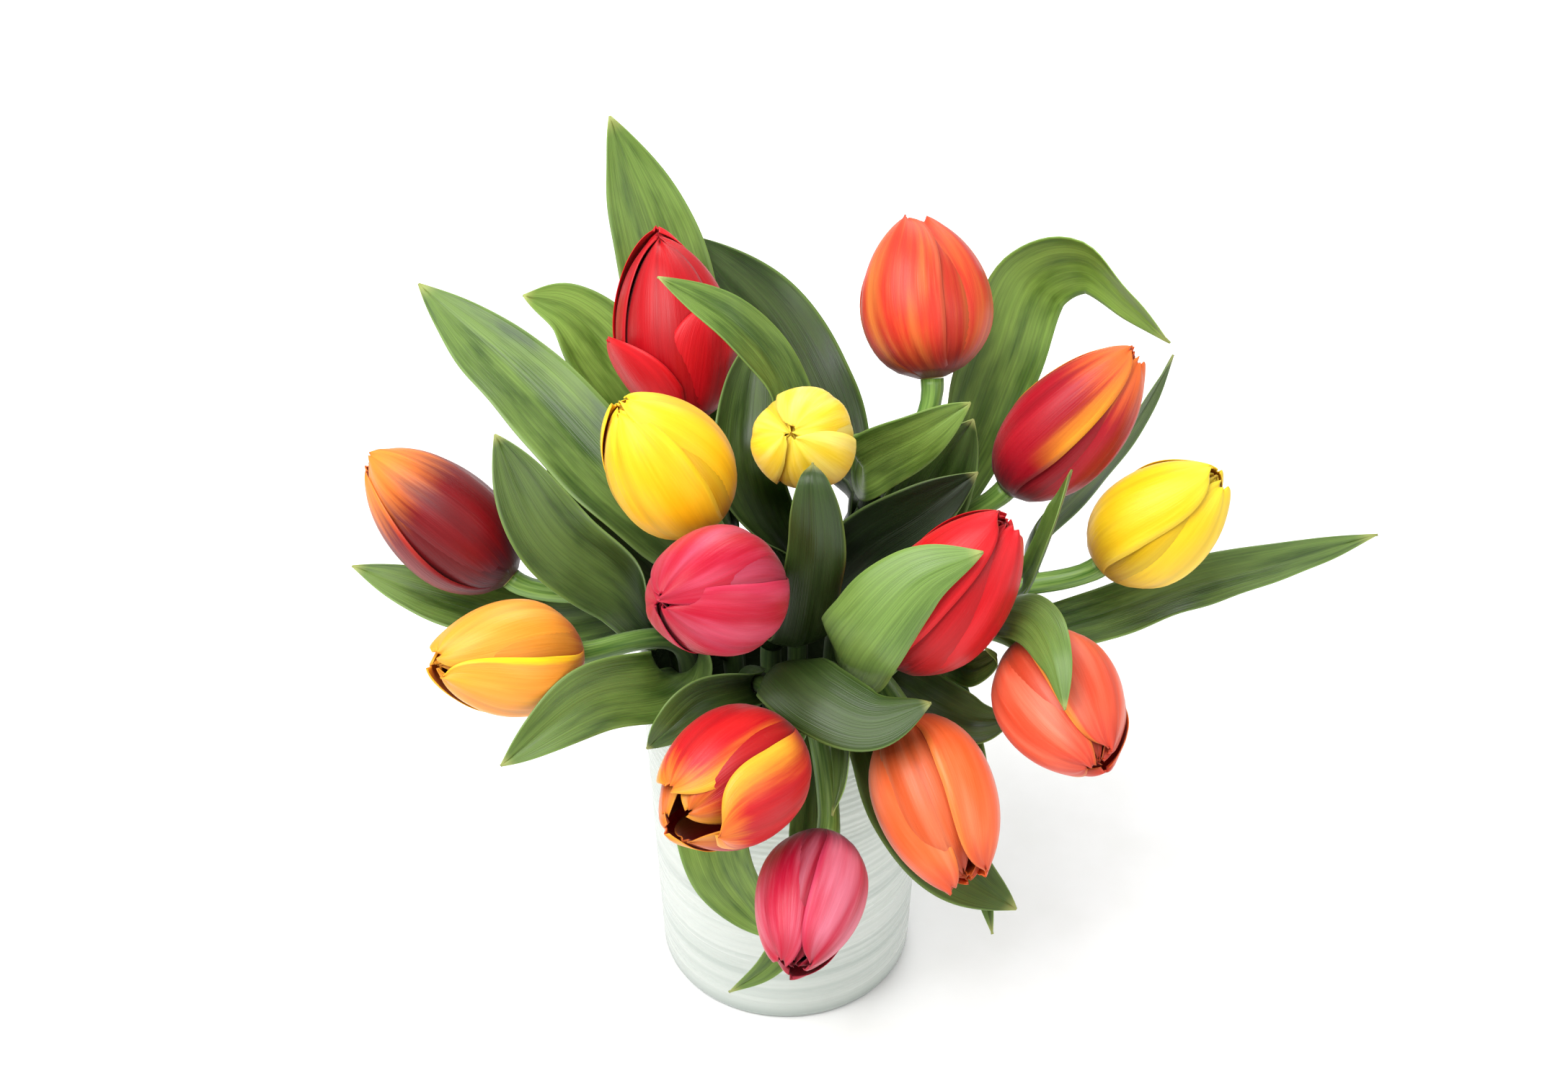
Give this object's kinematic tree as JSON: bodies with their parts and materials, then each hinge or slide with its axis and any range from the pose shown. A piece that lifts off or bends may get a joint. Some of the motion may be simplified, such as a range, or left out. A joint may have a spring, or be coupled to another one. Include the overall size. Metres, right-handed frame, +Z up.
{
  "type": "bouquet of cut tulips in a vase",
  "caption": "Cut tulips in mixed reds, oranges, pinks and yellows, with their leaves, standing in a tapered frosted-glass vase.",
  "frame": {"origin": "centre of the vase's flat underside, on the surface it stands on", "axes": "+Z up along the vase's axis, -Y towards the viewer the bouquet faces, +X to that viewer's right"},
  "size_m": [0.3533, 0.2616, 0.2795],
  "materials": {
    "glass": "frosted, milky, finely ribbed",
    "stem": "smooth, waxy plant stem",
    "leaf": "waxy, with fine parallel veins",
    "petal_red": "satin petal",
    "petal_yellow": "satin petal, orange at the base",
    "petal_coral": "satin petal, coral with orange flush",
    "petal_flame": "satin petal, dark red with an orange edge",
    "petal_orange": "satin petal, salmon orange",
    "petal_pink": "satin petal, pink with pale streaks",
    "petal_apricot": "satin petal, apricot with a yellow seam"
  },
  "bodies": {
    "root": {"apricot_left_bloom": "petal_apricot", "apricot_left_leaf_1": "leaf", "apricot_left_leaf_2": "leaf", "apricot_left_stem": "stem", "coral_right_bloom": "petal_coral", "coral_right_leaf_1": "leaf", "coral_right_leaf_2": "leaf", "coral_right_leaf_3": "leaf", "coral_right_stem": "stem", "coral_top_bloom": "petal_coral", "coral_top_leaf_1": "leaf", "coral_top_leaf_2": "leaf", "coral_top_leaf_3": "leaf", "coral_top_stem": "stem", "flame_left_bloom": "petal_flame", "flame_left_leaf_1": "leaf", "flame_left_stem": "stem", "flame_open_bloom": "petal_flame", "flame_open_leaf_1": "leaf", "flame_open_leaf_2": "leaf", "flame_open_leaf_3": "leaf", "flame_open_stem": "stem", "flame_right_bloom": "petal_flame", "flame_right_leaf_1": "leaf", "flame_right_stem": "stem", "orange_front_bloom": "petal_orange", "orange_front_leaf_1": "leaf", "orange_front_leaf_2": "leaf", "orange_front_stem": "stem", "pink_centre_bloom": "petal_pink", "pink_centre_leaf_1": "leaf", "pink_centre_stem": "stem", "pink_low_bloom": "petal_pink", "pink_low_leaf_1": "leaf", "pink_low_leaf_2": "leaf", "pink_low_stem": "stem", "red_front_bloom": "petal_red", "red_front_leaf_1": "leaf", "red_front_stem": "stem", "red_upper_bloom": "petal_red", "red_upper_leaf_1": "leaf", "red_upper_leaf_2": "leaf", "red_upper_stem": "stem", "vase": "glass", "yellow_right_bloom": "petal_yellow", "yellow_right_leaf_1": "leaf", "yellow_right_leaf_2": "leaf", "yellow_right_leaf_3": "leaf", "yellow_right_stem": "stem", "yellow_small_bloom": "petal_yellow", "yellow_small_leaf_1": "leaf", "yellow_small_leaf_2": "leaf", "yellow_small_leaf_3": "leaf", "yellow_small_stem": "stem", "yellow_upper_bloom": "petal_yellow", "yellow_upper_leaf_1": "leaf", "yellow_upper_leaf_2": "leaf", "yellow_upper_stem": "stem"}
  },
  "joints": []
}
